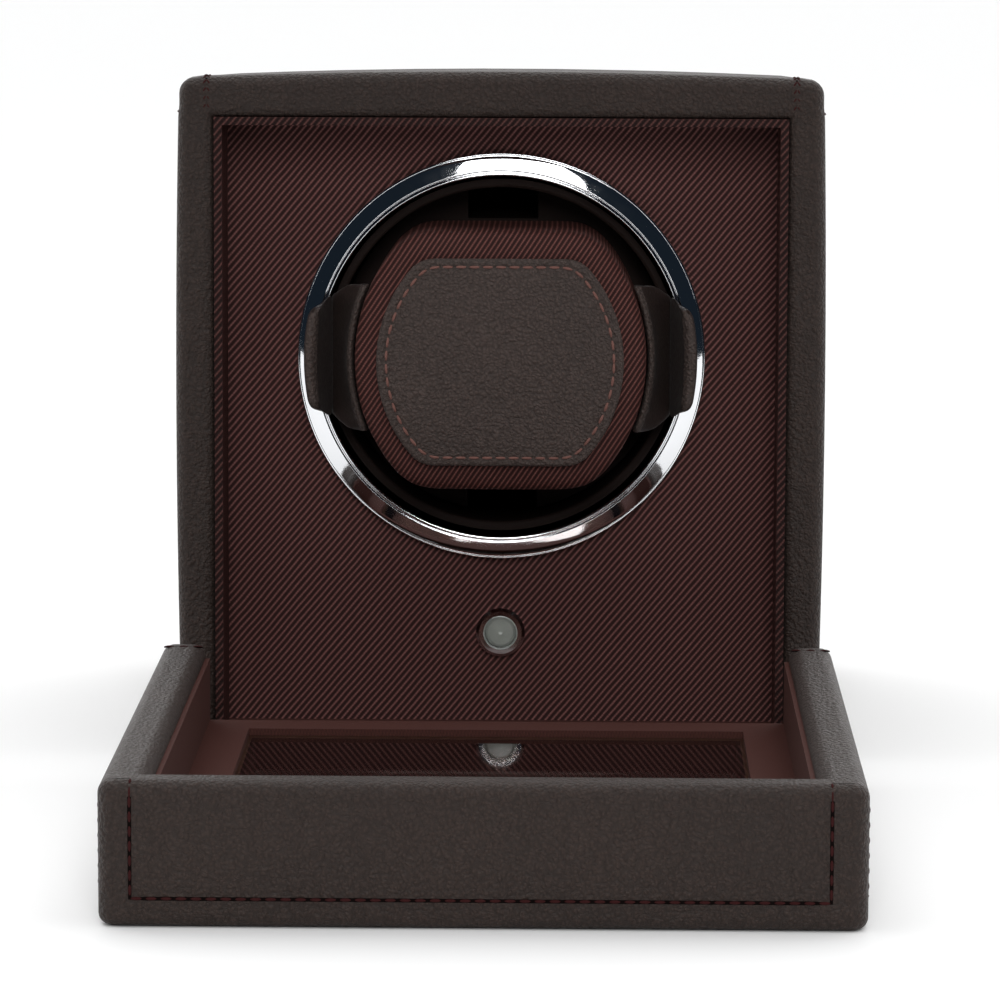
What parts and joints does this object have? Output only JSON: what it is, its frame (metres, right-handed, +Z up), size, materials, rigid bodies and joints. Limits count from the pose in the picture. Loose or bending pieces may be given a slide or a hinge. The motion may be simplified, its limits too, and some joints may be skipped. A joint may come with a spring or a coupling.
{
  "type": "watch winder box",
  "caption": "Leather-covered watch winder box with a fold-down glazed lid, a motor-driven drum holding a pull-out watch cuff, and a push button.",
  "frame": {"origin": "on the table, below the middle of the front frame's face", "axes": "+X to the right seen from the front, +Y to the back, +Z up; the lid is open at rest, lying in front of the body"},
  "size_m": [0.146, 0.3154, 0.1543],
  "materials": {
    "leather": "fine pebble grain, semi-matt",
    "board": "raw fibreboard",
    "twill": "two-tone diagonal twill",
    "lining": "fine satin-like lining",
    "glass": "clear, polished",
    "chrome": "polished",
    "steel": "satin",
    "brass": "turned",
    "black_plastic": "moulded",
    "translucent_plastic": "translucent",
    "foam": "open-cell foam",
    "circuit_board": "solder-mask",
    "rubber": "matt",
    "cell_jacket": "plain, no printing"
  },
  "bodies": {
    "body": {"base_board": "board", "battery_box": "black_plastic", "battery_cell": "cell_jacket", "battery_contact": "steel", "battery_spring": "steel", "bezel_ring": "chrome", "board_posts": "black_plastic", "board_screws": "steel", "button_bezel": "chrome", "button_spring": "steel", "carcass": "board", "catch_plates": "steel", "control_board": "circuit_board", "dc_socket": "black_plastic", "drive_belt": "rubber", "drum_bush": "brass", "drum_housing": "black_plastic", "feet": "rubber", "floor_lining": "lining", "gear_motor": "steel", "hinge_body_leaves": "steel", "hinge_pins": "steel", "housing_screws": "steel", "leather_cover": "leather", "led": "translucent_plastic", "motor_screws": "steel", "panel_board": "board", "panel_fabric": "twill", "plate_screws": "steel", "rail_left": "leather", "rail_right": "leather", "rail_top": "leather", "rear_cover": "black_plastic", "rear_plate": "steel", "rear_screws": "steel", "recess_liner": "twill", "tact_switch": "black_plastic"},
    "lid": {"lid_core": "board", "lid_magnets": "steel", "lid_cover": "leather", "lid_glass": "glass", "lid_floor_lining": "lining", "lid_wall_lining": "lining", "hinge_lid_leaves": "steel"},
    "drum": {"drum_cup": "black_plastic", "drum_shaft": "steel", "drum_pulley": "black_plastic", "shaft_clip": "steel"},
    "motor_rotor": {"motor_shaft": "steel", "motor_pulley": "black_plastic"},
    "cuff": {"cuff_cover": "twill", "cuff_foam": "foam", "cuff_face": "leather", "cuff_chassis": "black_plastic", "cuff_side_left": "leather", "cuff_side_right": "leather"},
    "grip_left": {"cuff_grip_left": "leather"},
    "grip_right": {"cuff_grip_right": "leather"},
    "button": {"power_button": "translucent_plastic"},
    "battery_door": {"battery_door": "black_plastic"}
  },
  "joints": [
    {"name": "lid_hinge", "type": "hinge", "parent": "body", "child": "lid", "pos_m": [0, -0.0268, 0.0042], "axis": [-1, 0, 0], "range_deg": [0, 90.99]},
    {"name": "drum_spin", "type": "hinge", "parent": "body", "child": "drum", "pos_m": [0, 0.06, 0.0895], "axis": [0, 1, 0], "continuous": true},
    {"name": "motor_spin", "type": "hinge", "parent": "body", "child": "motor_rotor", "pos_m": [0.042, 0.07, 0.029], "axis": [0, 1, 0], "continuous": true},
    {"name": "cuff_slide", "type": "slide", "parent": "drum", "child": "cuff", "axis": [0, 1, 0], "range_m": [-0.05, 0]},
    {"name": "grip_left_squeeze", "type": "hinge", "parent": "cuff", "child": "grip_left", "pos_m": [-0.0384, 0.0124, 0.0901], "axis": [0, 0, 1], "range_deg": [0, 6], "stiffness_Nm_per_rad": 0.06},
    {"name": "grip_right_squeeze", "type": "hinge", "parent": "cuff", "child": "grip_right", "pos_m": [0.0384, 0.0124, 0.0901], "axis": [0, 0, -1], "range_deg": [0, 6], "stiffness_Nm_per_rad": 0.06},
    {"name": "button_press", "type": "slide", "parent": "body", "child": "button", "axis": [0, 1, 0], "range_m": [0, 0.0012], "stiffness_N_per_m": 600, "deforming": ["button_spring"]},
    {"name": "battery_door_slide", "type": "slide", "parent": "body", "child": "battery_door", "axis": [0, 1, 0], "range_m": [0, 0.02]}
  ],
  "couplings": [
    {"joint": "motor_spin", "follows": "drum_spin", "ratio": 3.8},
    {"joint": "grip_right_squeeze", "follows": "grip_left_squeeze", "ratio": 1}
  ]
}
